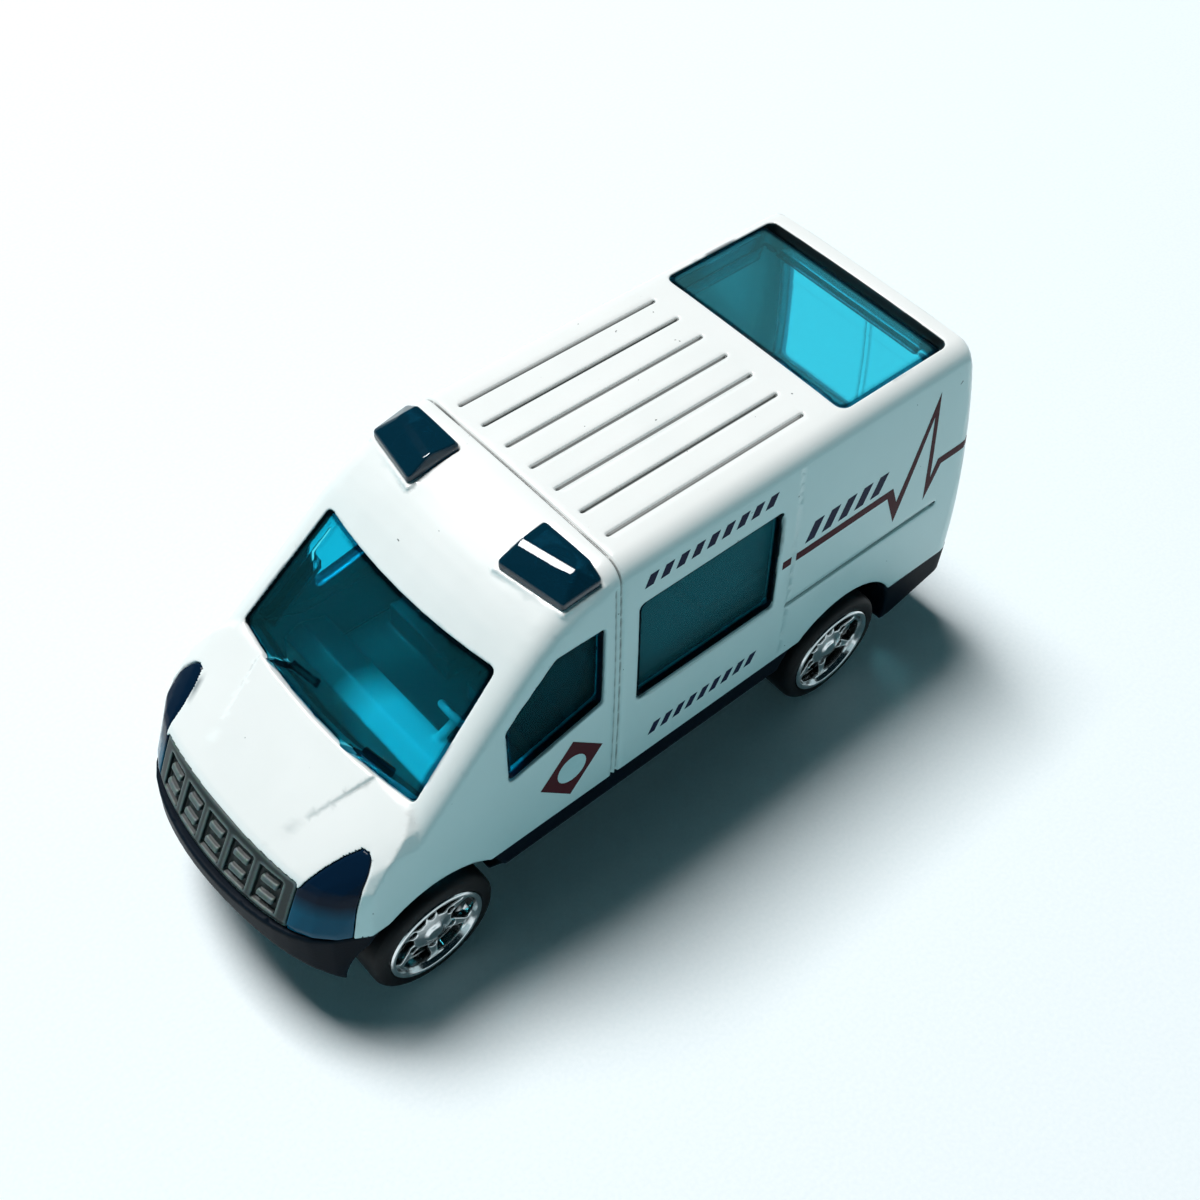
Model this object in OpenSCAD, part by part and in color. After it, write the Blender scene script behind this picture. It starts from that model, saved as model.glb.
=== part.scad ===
// Die-cast toy ambulance van: a thin cast body over a plastic base, tinted glazing,
// roof beacons, lamps, a light interior tray and two free-rolling wheel sets.
// Frame: +X to the front, +Y to the left side, +Z up; origin on the ground under the middle.

/* [Body casting] */
// Length of the base over both bumpers
overall_l = 72.9; // [72.6:0.1:76]
// Width of the body at its sill
body_w = 26.4; // [26:0.1:28]
// Width of the body at the roof edge
roof_w = 23.06; // [22.6:0.02:23.6]
// Outward bulge of each side halfway up
side_bulge = 0.22; // [0.1:0.02:0.34]
// Height of the roof above the ground
roof_z = 35; // [34.4:0.1:36]
// Rise of the roof's middle over its edges
roof_crown = 0.12; // [0.06:0.02:0.3]
// Height of the sill between the wheels
sill_z = 11.2; // [10.9:0.1:11.5]
// Height of the lower edge behind the rear wheels
tail_z = 9.66; // [9.3:0.02:10]
// Wall of the casting
wall = 1.2; // [1.05:0.05:1.35]
// Radius of the edge between roof and sides, also along the screen pillars
shoulder_r = 1.9; // [1.6:0.1:2.2]
// How far the tail leans forward from its foot to the roof
tail_lean = 3.1; // [2.6:0.1:3.6]
// Radius of the upright corners at the tail
tail_corner_r = 1.4; // [1:0.1:1.8]
// How far the tail's foot stands inside the rear bumper
tail_setback = 0.4; // [0.3:0.05:0.7]

/* [Cab] */
// From the front bumper back to the end of the flat roof, where the cab's curve begins
cab_l = 30.48; // [30.1:0.02:30.9]
// Radius of the cab roof's curve
cab_r = 14.4; // [13.8:0.1:15]
// Slope of the windscreen from level, in degrees
screen_slope = 44.6; // [43.6:0.2:45.6]
// Drop of the windscreen at its pillars against its middle
screen_crown = 1; // [0.7:0.05:1.2]
// How far the bonnet's edge stands behind the front bumper
bonnet_setback = 2.38; // [2.1:0.02:2.6]
// Height of the bonnet's front edge
bonnet_z = 17.1; // [16.9:0.1:17.4]
// Slope of the bonnet from level, in degrees
bonnet_slope = 27; // [26.4:0.2:27.6]
// Height by which the bonnet's middle panel stands up
bonnet_rise = 0.24; // [0.1:0.02:0.4]
// How far the grille's foot stands behind the front bumper
nose_setback = 0.55; // [0.4:0.05:0.8]
// Bow of the nose across its width, seen from above
nose_bow = 2.6; // [2.2:0.1:3]
// Extra sweep of the nose at its corners
nose_sweep = 3.2; // [2.6:0.1:3.8]

/* [Openings] */
// Height of the middle windows' lower edge
window_low_z = 19; // [18.6:0.1:20]
// Drop of the side windows' upper edge below the roof
window_drop = 5.2; // [4.9:0.1:5.8]
// Length of the middle windows
window_l = 15.2; // [14:0.1:15.8]
// Half width of the roof light
skylight_half_w = 10.1; // [9:0.1:10.2]
// Length of the roof light
skylight_l = 12.7; // [11:0.1:12.9]
// Thickness of the tinted glazing behind the openings
glass_t = 0.8; // [0.6:0.05:1]
// Recess of the glazing's rim below the paint
glass_recess = 0.16; // [0.1:0.02:0.3]
// Recess of the side panes inside their rims
pane_recess = 0.85; // [0.6:0.05:1]
// Width of the rims round the side panes
rim_w = 0.3; // [0.2:0.02:0.5]
// Clearance round every seated piece
fit_gap = 0.06; // [0.04:0.01:0.09]

/* [Surface lines] */
// Depth of the panel lines and roof grooves
line_d = 0.3; // [0.2:0.02:0.4]
// Width of the panel lines
line_w = 0.26; // [0.2:0.02:0.36]
// Width of the roof grooves
groove_w = 0.36; // [0.3:0.02:0.5]
// Spacing of the roof grooves
groove_pitch = 2.82; // [2.6:0.02:2.9]
// Length of the roof grooves
groove_l = 20.1; // [16:0.1:21]

/* [Wheels] */
// Distance of the rear axle ahead of the rear bumper
rear_overhang = 15.7; // [15.3:0.05:16.1]
// Distance of the front axle behind the front bumper
front_overhang = 12.1; // [11.9:0.05:12.3]
// Outer diameter of the tyres
tyre_d = 11.6; // [11.3:0.1:11.8]
// Width of the tyres
tyre_w = 4.2; // [3.9:0.1:4.3]
// Diameter of the plated hubs
hub_d = 9; // [8.7:0.1:9.2]
// Width over a pair of wheels beyond the width at the sill
track_over = 0.3; // [0.1:0.02:0.5]
// Diameter of the steel axles
axle_d = 1.6; // [1.4:0.1:1.8]
// Radial running clearance of the axles in the base
axle_gap = 0.05; // [0.03:0.01:0.09]
// Radius of the wheel arches
arch_r = 7.65; // [7.5:0.05:7.8]
// Spokes of each hub
spokes = 6; // [5:1:6]

/* [Base and inside] */
// Height of the base's underside
base_z = 4.2; // [4:0.1:4.4]
// Thickness of the base's floor
floor_t = 1.2; // [1.1:0.05:1.3]
// Wall of the base
base_wall = 1.4; // [1.3:0.05:1.6]
// Depth of the base's upright skirts
skirt_h = 2.8; // [2:0.1:3.4]
// Height of the front bumper's top
bumper_z = 12.2; // [12:0.05:12.3]
// Depth of the front bumper's face
bumper_h = 1.7; // [1.4:0.1:2.4]
// Underside of the interior tray
tray_z = 12.5; // [12.4:0.1:12.7]
// Thickness of the interior tray
tray_t = 1; // [0.8:0.1:1.2]
// Radius of the screw posts
post_r = 2; // [1.9:0.1:2.2]

/* [Hidden] */
$fn = 48;

slice_t = 0.02;
far = 60;
seat_gap = 0.05;
front_x = overall_l / 2;
track_w = body_w + track_over;
axle_z = tyre_d / 2;
front_axle_x = front_x - front_overhang;
rear_axle_x = rear_overhang - front_x;
wheelbase = front_axle_x - rear_axle_x;
tail_x = tail_setback - front_x;
roof_end_x = front_x - cab_l;
bonnet_x = front_x - bonnet_setback;
nose_x = front_x - nose_setback;
nose_back_x = bonnet_x - 20;
cowl_h = 3.36;
screen_top = [roof_end_x + cab_r * sin(screen_slope), roof_z - cab_r * (1 - cos(screen_slope))];
screen_l = (screen_top[1] - bonnet_z - cowl_h) / sin(screen_slope);
grille_foot_z = 13;
grille_half_w = body_w / 2 - 4.7;
base_half_w = body_w / 2 - 0.35;
grille_lean = (nose_x - bonnet_x) / (bonnet_z - grille_foot_z);
window_top_z = roof_z - window_drop;
window_x = roof_end_x - 1.77;
window_back_x = window_x - window_l;
skylight_x = tail_x + 17.8;
skylight_r = 0.8;
rear_door_x = window_back_x - 1.75;
fender_z = bumper_z + seat_gap;
floor_z = base_z + floor_t;
front_step_x = front_axle_x - 2.35;
rear_step_x = rear_axle_x - 3.25;
front_post_x = front_x - 7.6;
rear_post_x = tail_x + 6.9;
tyre_in_y = track_w / 2 - tyre_w;
wheel_room_y = tyre_in_y - 0.85;
screw_r = 0.75;
beacon_r = 1.5;
beacon_at = [roof_end_x + 3.28, 8];

// Seat of a beacon in plan
beacon_foot = [for (v = [[1.48, 4.8], [6.3, 5.1], [5.1, 11.1], [1.5, 11.3]]) [roof_end_x + v[0], v[1]]];

// Point s down the windscreen and d under it, in X and Z
function on_screen(s, d) =
  [screen_top[0] + s * cos(screen_slope) - d * sin(screen_slope),
    screen_top[1] - s * sin(screen_slope) - d * cos(screen_slope)];

// Half width of the body at a height
function half_w(z) =
  let (t = (roof_z - z) / (roof_z - sill_z))
  roof_w / 2 + (body_w - roof_w) / 2 * t + 4 * side_bulge * t * (1 - t);

// Rear face of the tail at a height
function tail_at(z) = tail_x + tail_lean * pow(max(0, (z - tail_z) / (roof_z - tail_z)), 2.2);

// Inward curve of the upright tail corners at a distance d from the tail's face
function tail_round(d) =
  d >= tail_corner_r ? 0
  : tail_corner_r - sqrt(pow(tail_corner_r, 2) - pow(tail_corner_r - max(0, d), 2));

// Stations along the upper body, each [x, height of its top, crown], set in by i
function stations(i) = let (top = roof_z - i, a = screen_slope, r = cab_r - i, c = roof_crown) concat(
  [for (f = [0.16, 0.36, 0.54, 0.7, 0.84, 0.94])
    let (z = tail_z + f * (top - tail_z)) [tail_at(z) + i, z, c]],
  [[tail_at(roof_z) + i + 0.45, top - 0.1, c], [tail_at(roof_z) + i + 1.1, top, c],
    [tail_at(roof_z) + i + tail_corner_r + 0.35, top, c], [roof_end_x + 0.3, top, c]],
  [for (k = [1 : 8]) let (b = a * k / 8)
    [roof_end_x + r * sin(b), roof_z - cab_r + r * cos(b), c + (screen_crown - c) * k / 8]],
  [[screen_top[0] + screen_l * cos(a) - i * sin(a), screen_top[1] - screen_l * sin(a) - i * cos(a),
    screen_crown]]);

// Half outline of a station from its foot up to the middle of its top
function half_section(s, i, low) =
  let (r = max(shoulder_r - i, 0.4), zs = s[1] - s[2] - r,
    yc = half_w(zs) - i - tail_round(s[0] - tail_at(zs) - i) - r)
  concat(
    [for (z = concat([low], [for (l = [13, 17, 21, 25, 28.5, 31]) if (l > low + 0.4 && l < zs - 0.4) l], [zs]))
      [half_w(z) - i - tail_round(s[0] - tail_at(z) - i), z]],
    [for (a = [11.25 : 11.25 : 90]) [yc + r * cos(a), zs + r * sin(a)]],
    [for (f = [2 / 3, 1 / 3]) [yc * f, s[1] - s[2] * f * f]]);

function section(s, i, low) =
  let (half = half_section(s, i, low), n = len(half))
  concat(half, [[0, s[1]]], [for (k = [n - 1 : -1 : 0]) [-half[k][0], half[k][1]]]);

// Solid run of the roof and sides from x0 to x1, d under the paint
module run(x0, x1, d, low) {
  translate([x0, 0, 0])
    rotate([90, 0, 90])
      linear_extrude(x1 - x0) polygon(section([0, roof_z - d, roof_crown], d, low));
}

// Upper body set in by i: the tail and the cab as lofts, the straight run between them
module upper_form(i, low) {
  all = stations(i);
  for (part = [[0, 8], [9, len(all) - 1]])
    hull()
      for (k = [part[0] : part[1]])
        translate([all[k][0], 0, 0])
          rotate([90, 0, 90])
            linear_extrude(slice_t) polygon(section(all[k], i, low));
  run(all[8][0], all[9][0] + slice_t, i, low);
}

// Levels of the nose, each [height, foremost x, bow, sweep, pinch], set in by i
function nose_levels(i, low) =
  let (f = grille_foot_z, side = i * sqrt(1 + grille_lean * grille_lean), up = i / cos(bonnet_slope))
  concat(
    [for (v = [[low, 1, 1], [f, 1, 1], [bonnet_z - 0.7, 0.77, 0.94]])
      [v[0], nose_x - side - grille_lean * max(0, v[0] - f), nose_bow * v[1], nose_sweep * v[2], 0]],
    [[bonnet_z - 0.15 - up / 2, bonnet_x - side - 0.07, nose_bow * 0.58, nose_sweep * 0.87, 0]],
    [for (v = [[0.4, 0.42, 0.81, 0], [2.4, 0.23, 0.28, 0.1], [3.5, 0.17, 0.18, 0.5], [4.5, 0.12, 0.1, 1.7]])
      [bonnet_z + v[0] - up, bonnet_x - v[0] / tan(bonnet_slope), nose_bow * v[1], nose_sweep * v[2], v[3]]]);

// Nose set in by i: bonnet, wings and the face behind the grille in one loft
module nose_form(i, low) {
  hull()
    for (s = nose_levels(i, low))
      translate([0, 0, s[0] - slice_t])
        linear_extrude(slice_t)
          let (w = half_w(s[0]) - i - s[4])
            polygon(concat(
              [[nose_back_x, -w]],
              [for (t = [-1 : 0.1 : 1.001]) [s[1] - s[2] * t * t - s[3] * pow(t, 8), w * t]],
              [[nose_back_x, w]]));
}

module form(i, low) {
  upper_form(i, low);
  nose_form(i, low);
}

// Prism along Y from an outline in X and Z
module side_prism(points, y0, y1) {
  translate([0, y1, 0]) rotate([90, 0, 0]) linear_extrude(y1 - y0) polygon(points);
}

// Outline with corners of radius r, drawn in by g
module soft_outline(points, r, g) {
  offset(r = r, $fn = 24) offset(delta = -r - g) polygon(points);
}

// Rounded outline in X and Z drawn in by g, or a rim of it from g in to g + rim, cut through both sides
module side_cut(points, r, g, rim) {
  translate([0, far / 2, 0])
    rotate([90, 0, 0])
      linear_extrude(far)
        difference() {
          soft_outline(points, r, g);
          if (rim > 0) soft_outline(points, r, g + rim);
        }
}

// Windows of both cab doors
module door_openings(g, rim = 0) {
  x = roof_end_x;
  side_cut([[x + 1.53, window_top_z], [x + 6.28, window_top_z + 0.1], [x + 9.88, roof_z - 8.2],
    [x + 11.08, roof_z - 9.5], [x + 10.98, window_low_z + 0.5], [x + 1.68, window_low_z + 2.6]], 0.4, g, rim);
}

// Middle windows of both sides
module middle_openings(g, rim = 0) {
  side_cut([[window_x, window_top_z], [window_x, window_low_z], [window_back_x, window_low_z],
    [window_back_x, window_top_z]], 0.5, g, rim);
}

// Windscreen in its own plane, both edges bowed
module screen_opening(g) {
  top_s = 1.35;
  low_s = screen_l - 1.7;
  translate([screen_top[0], 0, screen_top[1]])
    rotate([0, screen_slope, 0])
      translate([0, 0, -5])
        linear_extrude(10)
          soft_outline(concat(
            [for (t = [-1 : 0.25 : 1]) [top_s - 0.68 * t * t, 9.95 * t]],
            [for (t = [1 : -0.25 : -1]) [low_s - 0.82 * t * t, 10.85 * t]]), 0.5, g);
}

module skylight_opening(g) {
  x1 = skylight_x - skylight_l;
  w = skylight_half_w;
  translate([0, 0, roof_z - 8])
    linear_extrude(12)
      soft_outline([[skylight_x, -w], [skylight_x, w], [x1, w], [x1, -w]], skylight_r, g);
}

// Wide window of the rear doors
module tail_opening(g) {
  translate([tail_x - 5, 0, 0])
    rotate([90, 0, 90])
      linear_extrude(15)
        soft_outline([[9.9, window_low_z - 2], [9.5, window_top_z], [-9.5, window_top_z],
          [-9.9, window_low_z - 2]], 0.7, g);
}

// Lamp outline, looking at the nose corner from between front and side
module lamp_opening(side, g) {
  z = bonnet_z;
  mirror([0, side < 0 ? 1 : 0, 0])
    translate([front_x, body_w / 2, 0])
      rotate([90, 0, 135])
        translate([0, 0, -20])
          linear_extrude(30)
            soft_outline([[4.44, z + 2.4], [3.64, z + 2.4], [2.44, z + 1.85], [1.04, z + 1.1],
              [-0.26, z + 0.3], [-1.16, z - 0.7], [-1.66, z - 2.1], [-2.6, fender_z - 0.6],
              [3, fender_z - 0.6], [3.44, z - 1.3], [3.84, z + 0.5], [4.24, z + 1.5]], 0.3, g);
}

// Space between the lamps, in front of the bonnet's lip
module grille_opening(g) {
  w = grille_half_w - g;
  translate([bonnet_x - 4, -w, fender_z - 0.01 + g])
    cube([far, 2 * w, bonnet_z - 0.1 - fender_z - 2 * g]);
}

// Everything below the body's lower edge
module below_sill() {
  side_prism([[-far, -1], [-far, tail_z], [rear_step_x, tail_z], [rear_step_x, sill_z],
    [front_step_x, sill_z], [front_step_x, fender_z], [far, fender_z], [far, -1]], -far, far);
}

module wheel_arches(r, y0) {
  for (x = [front_axle_x, rear_axle_x], s = [-1, 1])
    translate([x, s * y0, axle_z])
      rotate([-90 * s, 0, 0]) cylinder(r = r, h = far);
}

// Roof grooves, door lines and the door rail, cut to one depth below the paint
module surface_lines() {
  difference() {
    union() {
      for (k = [-3 : 3])
        translate([roof_end_x - 1.3 - groove_l, k * groove_pitch, 0]) {
          translate([groove_l / 2, 0, roof_z]) cube([groove_l, groove_w, 4], center = true);
          for (x = [0, groove_l])
            translate([x, 0, roof_z - 2]) cylinder(d = groove_w, h = 4);
        }
      translate([roof_end_x - line_w / 2, -far / 2, sill_z - 1]) cube([line_w, far, far]);
      for (s = [-1, 1]) {
        translate([roof_end_x + 0.6 - line_w / 2, s * far / 4, roof_z / 2 - 2])
          cube([line_w, far / 2, roof_z], center = true);
        translate([rear_door_x, s * far / 4, (roof_z + sill_z) / 2 - 0.6])
          cube([line_w, far / 2, roof_z - sill_z - 2.3], center = true);
        translate([rear_door_x - 9.3, s * far / 4, 18]) cube([19, far / 2, 0.42], center = true);
      }
      translate([-far / 2 - 30, -line_w / 2, tail_z + 1]) cube([far / 2, line_w, roof_z - tail_z - 3.3]);
    }
    run(tail_at(roof_z) + 2, roof_end_x + 2, line_d, 7);
    tail_sheet(line_d, 12, tail_z - 1, roof_z - 1, 8);
  }
}

// Everything under the left beacon's seat, which falls to the front and to the outside
module beacon_plane(up) {
  translate([roof_end_x + 1.28, 4.8, roof_z - 0.5 + up])
    rotate([-5, 9, 0])
      translate([-10, -20, -20]) cube([25, 40, 20]);
}

// Cast pads that carry the beacons
module beacon_pads() {
  for (s = [0, 1])
    mirror([0, s, 0])
      intersection() {
        translate([0, 0, roof_z - 4]) linear_extrude(4) offset(delta = 0.2) polygon(beacon_foot);
        beacon_plane(0);
      }
}

// Flat seats sunk in the roof for the beacons' feet
module beacon_seats() {
  for (s = [0, 1])
    mirror([0, s, 0])
      difference() {
        translate([0, 0, roof_z - 3]) linear_extrude(6) soft_outline(beacon_foot, 0.3, -fit_gap / 2);
        beacon_plane(0);
      }
}

// Raised middle of the bonnet, narrowing to the front and rising from its lip
module bonnet_panel() {
  intersection() {
    translate([bonnet_x, 0, bonnet_z])
      rotate([0, atan(bonnet_rise / 9), 0])
        translate([-bonnet_x, 0, -bonnet_z]) nose_form(0, bonnet_z - 4);
    translate([0, 0, bonnet_z - 0.3])
      linear_extrude(8)
        polygon([[bonnet_x - 11, -7.9], [bonnet_x + 3, -3.2], [bonnet_x + 3, 3.2], [bonnet_x - 11, 7.9]]);
  }
}

// Post under the bonnet and boss at the tail that take the base's screws
module screw_posts() {
  intersection() {
    translate([front_post_x, 0, floor_z]) cylinder(r = post_r, h = 25);
    translate([bonnet_x, 0, bonnet_z - 0.5])
      rotate([0, bonnet_slope, 0]) translate([-20, -10, -20]) cube([30, 20, 20]);
  }
  translate([rear_post_x, 0, floor_z]) cylinder(r = post_r, h = tray_z - 0.2 - floor_z);
  translate([tail_x + 0.5, -0.8, tail_z + 0.3])
    cube([rear_post_x - tail_x, 1.6, tray_z - tail_z - 0.5]);
}

// Cast tail lamps, two upright pads on the tail's corners
module tail_lamps() {
  for (s = [-1, 1])
    translate([tail_x - 0.2, s * 10.6 - 0.9, 11.4]) cube([1, 1.8, 5.2]);
}

module body_shell() color("white") {
  difference() {
    union() {
      difference() {
        union() {
          form(0, 9);
          beacon_pads();
          bonnet_panel();
          tail_lamps();
        }
        form(wall, 8);
        below_sill();
      }
      screw_posts();
    }
    wheel_arches(arch_r, wheel_room_y);
    door_openings(0);
    middle_openings(0);
    screen_opening(0);
    skylight_opening(0);
    tail_opening(0);
    lamp_opening(1, 0);
    lamp_opening(-1, 0);
    grille_opening(0);
    surface_lines();
    beacon_seats();
    for (s = [-1, 1])
      translate([beacon_at[0], s * beacon_at[1], roof_z - 6]) cylinder(r = beacon_r, h = 8);
    for (x = [front_post_x, rear_post_x])
      translate([x, 0, floor_z - 1]) cylinder(r = screw_r + 0.01, h = 6);
  }
}

// Two wipers lying along the foot of the windscreen
module wipers() {
  for (v = [[screen_l - 2.4, 2.6], [screen_l - 3, -6.9]])
    translate([screen_top[0], v[1], screen_top[1]])
      rotate([0, screen_slope, 0])
        translate([v[0], 0, -1.6])
          linear_extrude(1.65) {
            polygon([[1.1, 0], [0.3, 1.2], [-0.3, 2.5], [-0.1, 3.1], [0.6, 1.7]]);
            translate([-0.6, 4.2]) rotate(9) square([0.75, 3.2], center = true);
          }
}

// Hollow run from x0 to x1, between the depths d0 and d1 under the paint
module hoop(x0, x1, d0, d1) {
  difference() {
    run(x0, x1, d0, window_low_z - 1.5);
    run(x0 - 1, x1 + 1, d1, window_low_z - 3);
  }
}

// Sheet along the tail between the depths d0 and d1 under the paint
module tail_sheet(d0, d1, z0, z1, w) {
  levels = [for (k = [0 : 6]) z0 + (z1 - z0) * k / 6];
  side_prism(concat(
    [for (z = levels) [tail_at(z) + d0, z]],
    [for (k = [6 : -1 : 0]) [tail_at(levels[k]) + d1, levels[k]]]), -w, w);
}

// Tinted moulding of the cab: windscreen and door panes with rims, joined by side sheets
module cab_glazing() color("darkcyan", 0.6) {
  front = wall + fit_gap;
  back = front + glass_t;
  x = roof_end_x;
  low = window_low_z - 0.6;
  join = on_screen(4.72, 2.62);
  foot = on_screen(screen_l - 3.48, 2.62);
  difference() {
    intersection() {
      upper_form(glass_recess, 8);
      screen_opening(fit_gap);
    }
    upper_form(back, 7);
  }
  wipers();
  intersection() {
    hoop(x + 0.78, foot[0], front, back);
    side_prism([[x + 0.78, low], [x + 0.78, roof_z - 3.8], [x + 4.53, roof_z - 3.8],
      [x + 7.53, roof_z - 5.4], on_screen(2.47, 2.62), foot, [foot[0], foot[1] - 0.8],
      [foot[0] - 3.5, low]], -far / 2, far / 2);
  }
  intersection() {
    hoop(join[0], foot[0], front, back + 1.2);
    side_prism([[join[0], join[1] - 1.2], join, foot, [foot[0], foot[1] - 0.8]], -far / 2, far / 2);
  }
  intersection() {
    hoop(x + 1.03, x + 11.43, glass_recess, back - 0.1);
    door_openings(fit_gap, rim_w);
  }
  intersection() {
    hoop(x + 1.03, x + 11.43, pane_recess, back - 0.1);
    door_openings(fit_gap + rim_w / 2);
  }
}

// Tinted moulding behind the cab: middle panes, roof light and rear pane, joined by a liner
module rear_glazing() color("darkcyan", 0.6) {
  front = wall + fit_gap;
  back = front + glass_t;
  tail = tail_at(roof_z);
  x0 = tail + wall + tail_corner_r + 0.4;
  x1 = window_back_x - 1.4;
  x2 = window_x + 0.8;
  low = window_low_z - 1;
  rail = roof_z - 4;
  top = roof_z + 5;
  intersection() {
    hoop(x0, x2, front, back);
    side_prism([[x0 - 0.4, rail], [x1, rail], [x1, low], [x2, low], [x2, top], [x0 - 0.4, top]],
      -far / 2, far / 2);
  }
  intersection() {
    hoop(x0, x2, glass_recess, back - 0.1);
    union() {
      middle_openings(fit_gap, rim_w);
      skylight_opening(fit_gap);
    }
  }
  intersection() {
    hoop(x1, x2, pane_recess, back - 0.1);
    middle_openings(fit_gap + rim_w / 2);
  }
  tail_sheet(front, back, window_top_z - 1, rail, 9.4);
  tail_sheet(front, back, rail - 0.5, roof_z - 2.75, 8);
  side_prism([[tail + 1.05, roof_z - 3.3], [tail + 1.05, roof_z - 2.8], [tail + 1.55, roof_z - 1.8],
    [x0 + 0.3, roof_z - 1.8], [x0 + 0.3, roof_z - 2.4], [tail + 1.75, roof_z - 2.4],
    [tail + 1.55, roof_z - 3.3]], -8, 8);
  difference() {
    intersection() {
      tail_sheet(glass_recess, back - 0.1, window_low_z - 3, rail, 10.4);
      tail_opening(fit_gap);
    }
    difference() {
      translate([tail_x - 5, -line_w / 2, window_low_z - 4]) cube([10, line_w, 20]);
      tail_sheet(glass_recess + line_d, 12, window_low_z - 5, roof_z - 1, 5);
    }
  }
}

module beacon(side) {
  mirror([0, side < 0 ? 1 : 0, 0]) {
    hull() {
      intersection() {
        translate([0, 0, roof_z - 3]) linear_extrude(6) soft_outline(beacon_foot, 0.3, 0.05);
        difference() {
          beacon_plane(0.7);
          beacon_plane(0.02);
        }
      }
      translate([0, 0, roof_z + 0.28])
        linear_extrude(0.15)
          soft_outline([for (v = [[1.72, 5.05], [4.3, 5.3], [3.25, 9.95], [1.58, 10]])
            [roof_end_x + v[0], v[1]]], 0.3, 0);
    }
    translate([beacon_at[0], beacon_at[1], roof_z - 2.2]) cylinder(r = beacon_r - fit_gap, h = 2);
  }
}

module beacon_left() color("navy", 0.8) beacon(1);

module beacon_right() color("navy", 0.8) beacon(-1);

module headlamp(side) {
  difference() {
    intersection() {
      nose_form(0.08, 8);
      lamp_opening(side, fit_gap);
      translate([nose_back_x, side > 0 ? grille_half_w + fit_gap : -far, fender_z + fit_gap])
        cube([far, far - grille_half_w - fit_gap, far]);
    }
    nose_form(wall + 0.3, 7);
  }
}

module headlamp_left() color("teal", 0.8) headlamp(1);

module headlamp_right() color("teal", 0.8) headlamp(-1);

// Plate between the lamps with pairs of short slats in shallow pockets
module grille() color("dimgray") {
  columns = 5;
  pitch = 3.1;
  difference() {
    intersection() {
      nose_form(0.1, 8);
      grille_opening(fit_gap);
    }
    nose_form(wall + 0.4, 7);
    difference() {
      for (k = [0 : columns - 1])
        translate([bonnet_x - 4, (k - (columns - 1) / 2) * pitch - 1.2, fender_z + 0.8])
          cube([10, 2.4, 3.2]);
      nose_form(0.5, 7);
      for (k = [0 : columns - 1], z = [1.4, 2.8])
        translate([bonnet_x - 4, (k - (columns - 1) / 2) * pitch - 0.8, fender_z + z])
          cube([10, 1.6, 0.5]);
    }
  }
}

// Outline of the base in plan, drawn in by i
module base_outline(i) {
  r = 0.9;
  w = base_half_w - i;
  x1 = i - front_x;
  polygon(concat(
    [for (t = [-1 : 0.1 : 1.001])
      [front_x - i - (nose_bow + 0.4) * t * t - nose_sweep * pow(t, 8), w * t]],
    [for (a = [90 : 30 : 180]) [x1 + r + r * cos(a), w - r + r * sin(a)]],
    [for (a = [180 : 30 : 270]) [x1 + r + r * cos(a), r - w + r * sin(a)]]));
}

// Outside of the base: bumpers in profile, skirts turned in between the wheels
module base_form() {
  w = base_half_w;
  x = front_x;
  top = sill_z - seat_gap;
  low = tail_z - seat_gap;
  difference() {
    intersection() {
      translate([0, 0, base_z - 1]) linear_extrude(20) base_outline(0);
      side_prism([[-x, base_z + 1.8], [7.05 - x, base_z], [x - 6.25, base_z], [x, bumper_z - bumper_h],
        [x, bumper_z], [front_step_x, bumper_z], [front_step_x, top], [rear_step_x, top],
        [rear_step_x, low], [-x, low]], -far, far);
    }
    for (s = [-1, 1])
      translate([rear_axle_x, 0, 0])
        rotate([90, 0, 90])
          linear_extrude(wheelbase)
            polygon([[s * (w + 1), base_z - 1], [s * (w - 2.97), base_z - 1], [s * w, sill_z - skirt_h],
              [s * (w + 1), sill_z - skirt_h]]);
  }
}

// Black chassis: bumpers, skirts, floor, axle ears and ribs under the tray
module base_plate() color("black") {
  ear_w = 1.6;
  room_w = base_half_w - 1.45;
  floor_w = base_half_w - 3.25;
  difference() {
    union() {
      difference() {
        base_form();
        intersection() {
          translate([3.95 - front_x, -far / 2, floor_z]) cube([overall_l - 9.4, far, far]);
          translate([0, 0, floor_z]) linear_extrude(20) base_outline(base_wall);
          translate([-front_x, 0, 0])
            rotate([90, 0, 90])
              linear_extrude(overall_l)
                polygon([[-room_w, 20], [-room_w, 8.6], [-floor_w, floor_z], [floor_w, floor_z],
                  [room_w, 8.6], [room_w, 20]]);
        }
        wheel_arches(arch_r - 0.1, wheel_room_y);
      }
      for (x = [front_axle_x, rear_axle_x], s = [-1, 1])
        translate([x - 2, s * (wheel_room_y - ear_w / 2 - 0.1) - ear_w / 2, base_z])
          cube([4, ear_w, 4.2]);
      for (x = [-9, 9])
        translate([x - 0.6, -wheel_room_y, base_z])
          cube([1.2, 2 * wheel_room_y, tray_z - seat_gap - base_z]);
    }
    for (x = [front_axle_x, rear_axle_x])
      translate([x, far / 2, axle_z]) rotate([90, 0, 0]) cylinder(d = axle_d + 2 * axle_gap, h = far);
    for (x = [front_post_x, rear_post_x]) {
      translate([x, 0, base_z - 1]) cylinder(r = screw_r + 0.15, h = 4);
      translate([x, 0, base_z - 1]) cylinder(r = 1.75, h = 1.7);
    }
  }
}

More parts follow.
